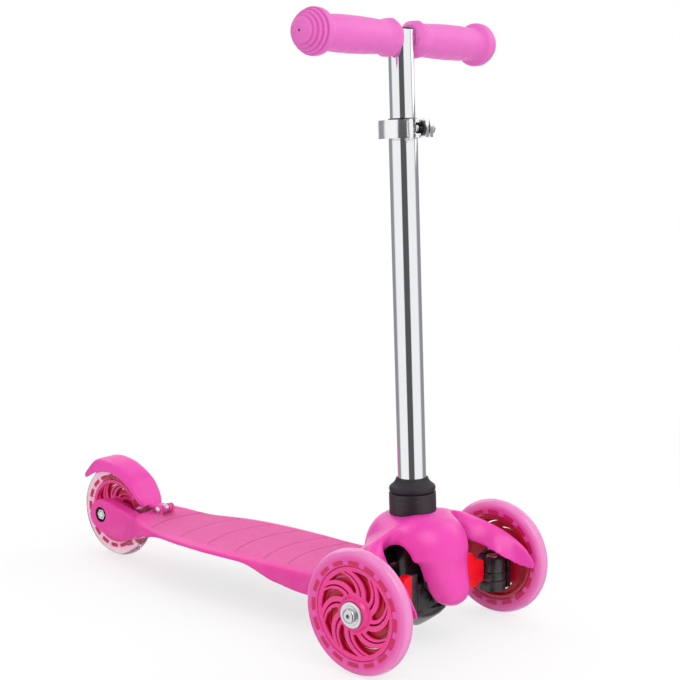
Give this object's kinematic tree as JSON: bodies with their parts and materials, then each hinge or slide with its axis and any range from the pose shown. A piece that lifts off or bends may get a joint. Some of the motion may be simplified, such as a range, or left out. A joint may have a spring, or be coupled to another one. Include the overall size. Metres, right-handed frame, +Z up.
{
  "type": "three wheel kids scooter",
  "caption": "Lean-to-steer kids scooter: two front wheels under a winged cover, ribbed deck, height-adjustable T bar with clamp lever, and a rear wheel with a foot brake.",
  "frame": {"origin": "middle of the footprint box, on the ground", "axes": "+X to the rider's left, +Y backwards along the deck, +Z up"},
  "size_m": [0.296, 0.5756, 0.6101],
  "materials": {
    "cover_plastic": "smooth moulded pink plastic",
    "wheel_core_plastic": "moulded pink plastic",
    "clear_tyre": "translucent pink polyurethane",
    "deck_plastic": "matt pink plastic with a fine texture and curved grooves",
    "red_plastic": "red moulded plastic",
    "black_plastic": "black moulded plastic",
    "grip_rubber": "soft pink rubber",
    "black_rubber": "black rubber",
    "chrome_tube": "chrome plated steel tube",
    "clamp_aluminium": "polished cast aluminium",
    "bright_steel": "bright zinc plated steel",
    "bearing_steel": "ground bearing steel"
  },
  "bodies": {
    "chassis": {"deck_board": "deck_plastic", "deck_base": "black_plastic", "deck_screw_front_left": "bright_steel", "deck_screw_front_right": "bright_steel", "deck_screw_rear_left": "bright_steel", "deck_screw_rear_right": "bright_steel", "tray_screw_front": "bright_steel", "tray_screw_rear": "bright_steel", "lower_tray": "black_plastic", "axle_carrier": "black_plastic", "axle_arm_left": "red_plastic", "axle_arm_right": "red_plastic", "pivot_pin": "bright_steel", "kingpin_left": "bright_steel", "kingpin_right": "bright_steel", "rear_axle": "bright_steel", "rear_axle_nut": "bright_steel", "fender_pin": "bright_steel", "fender_spring": "bright_steel", "bumper_left": "black_rubber", "bumper_right": "black_rubber"},
    "steering_head": {"steering_block": "black_plastic", "nose_bracket": "black_plastic", "front_shell": "cover_plastic", "stem_collar": "black_plastic", "stem_boot": "black_rubber", "lower_stem_tube": "chrome_tube", "stem_guide_ring": "black_plastic", "clamp_collar": "clamp_aluminium", "clamp_washer": "black_plastic", "clamp_bolt": "bright_steel", "clamp_nut": "bright_steel", "clamp_pin": "bright_steel"},
    "handlebar": {"upper_stem_tube": "chrome_tube", "stem_plug": "black_plastic", "crossbar": "chrome_tube", "grip_left": "grip_rubber", "grip_right": "grip_rubber"},
    "lever": {"clamp_lever": "clamp_aluminium"},
    "tie_bar": {"tie_rod": "bright_steel"},
    "left_knuckle": {"knuckle_left": "black_plastic", "front_axle_left": "bright_steel", "front_washer_left": "bright_steel"},
    "right_knuckle": {"knuckle_right": "black_plastic", "front_axle_right": "bright_steel", "front_washer_right": "bright_steel"},
    "left_wheel": {"front_tyre_left": "clear_tyre", "front_core_left": "wheel_core_plastic", "front_bearing_outer_left": "bearing_steel", "front_bearing_inner_left": "bearing_steel"},
    "right_wheel": {"front_tyre_right": "clear_tyre", "front_core_right": "wheel_core_plastic", "front_bearing_outer_right": "bearing_steel", "front_bearing_inner_right": "bearing_steel"},
    "back_wheel": {"rear_tyre": "clear_tyre", "rear_core": "wheel_core_plastic", "rear_bearing_left": "bearing_steel", "rear_bearing_right": "bearing_steel", "rear_spacer": "bearing_steel"},
    "brake": {"rear_fender": "cover_plastic"}
  },
  "joints": [
    {"name": "lean", "type": "hinge", "parent": "chassis", "child": "steering_head", "pos_m": [0, -0.20735, 0.054], "axis": [0, 1, 0], "range_deg": [-10, 10], "stiffness_Nm_per_rad": 20, "deforming": ["bumper_left", "bumper_right"]},
    {"name": "left_steer", "type": "hinge", "parent": "chassis", "child": "left_knuckle", "pos_m": [0.092, -0.23735, 0.05], "axis": [0, 0, 1], "range_deg": [-7, 7]},
    {"name": "right_steer", "type": "hinge", "parent": "chassis", "child": "right_knuckle", "pos_m": [-0.092, -0.23735, 0.05], "axis": [0, 0, 1], "range_deg": [-7, 7]},
    {"name": "tie_bar_slide", "type": "slide", "parent": "chassis", "child": "tie_bar", "axis": [1, 0, 0], "range_m": [-0.0045, 0.0045]},
    {"name": "left_spin", "type": "hinge", "parent": "left_knuckle", "child": "left_wheel", "pos_m": [0.1156, -0.22735, 0.0604], "axis": [1, 0, 0], "continuous": true},
    {"name": "right_spin", "type": "hinge", "parent": "right_knuckle", "child": "right_wheel", "pos_m": [-0.1156, -0.22735, 0.0604], "axis": [1, 0, 0], "continuous": true},
    {"name": "back_spin", "type": "hinge", "parent": "chassis", "child": "back_wheel", "pos_m": [0, 0.23315, 0.0546], "axis": [1, 0, 0], "continuous": true},
    {"name": "brake_press", "type": "hinge", "parent": "chassis", "child": "brake", "pos_m": [0, 0.15315, 0.0703], "axis": [-1, 0, 0], "range_deg": [0, 1.5], "stiffness_Nm_per_rad": 3, "springref_deg": -3.44},
    {"name": "bar_height", "type": "slide", "parent": "steering_head", "child": "handlebar", "axis": [0, 0.041, 0.9992], "range_m": [-0.05, 0.09]},
    {"name": "lever_open", "type": "hinge", "parent": "steering_head", "child": "lever", "pos_m": [-0.016, -0.2129, 0.50387], "axis": [0, 0.041, 0.9992], "range_deg": [0, 120]}
  ],
  "couplings": [
    {"joint": "left_steer", "follows": "lean", "ratio": 0.6667},
    {"joint": "right_steer", "follows": "lean", "ratio": 0.6667},
    {"joint": "tie_bar_slide", "follows": "lean", "m_per_rad": -0.024}
  ]
}
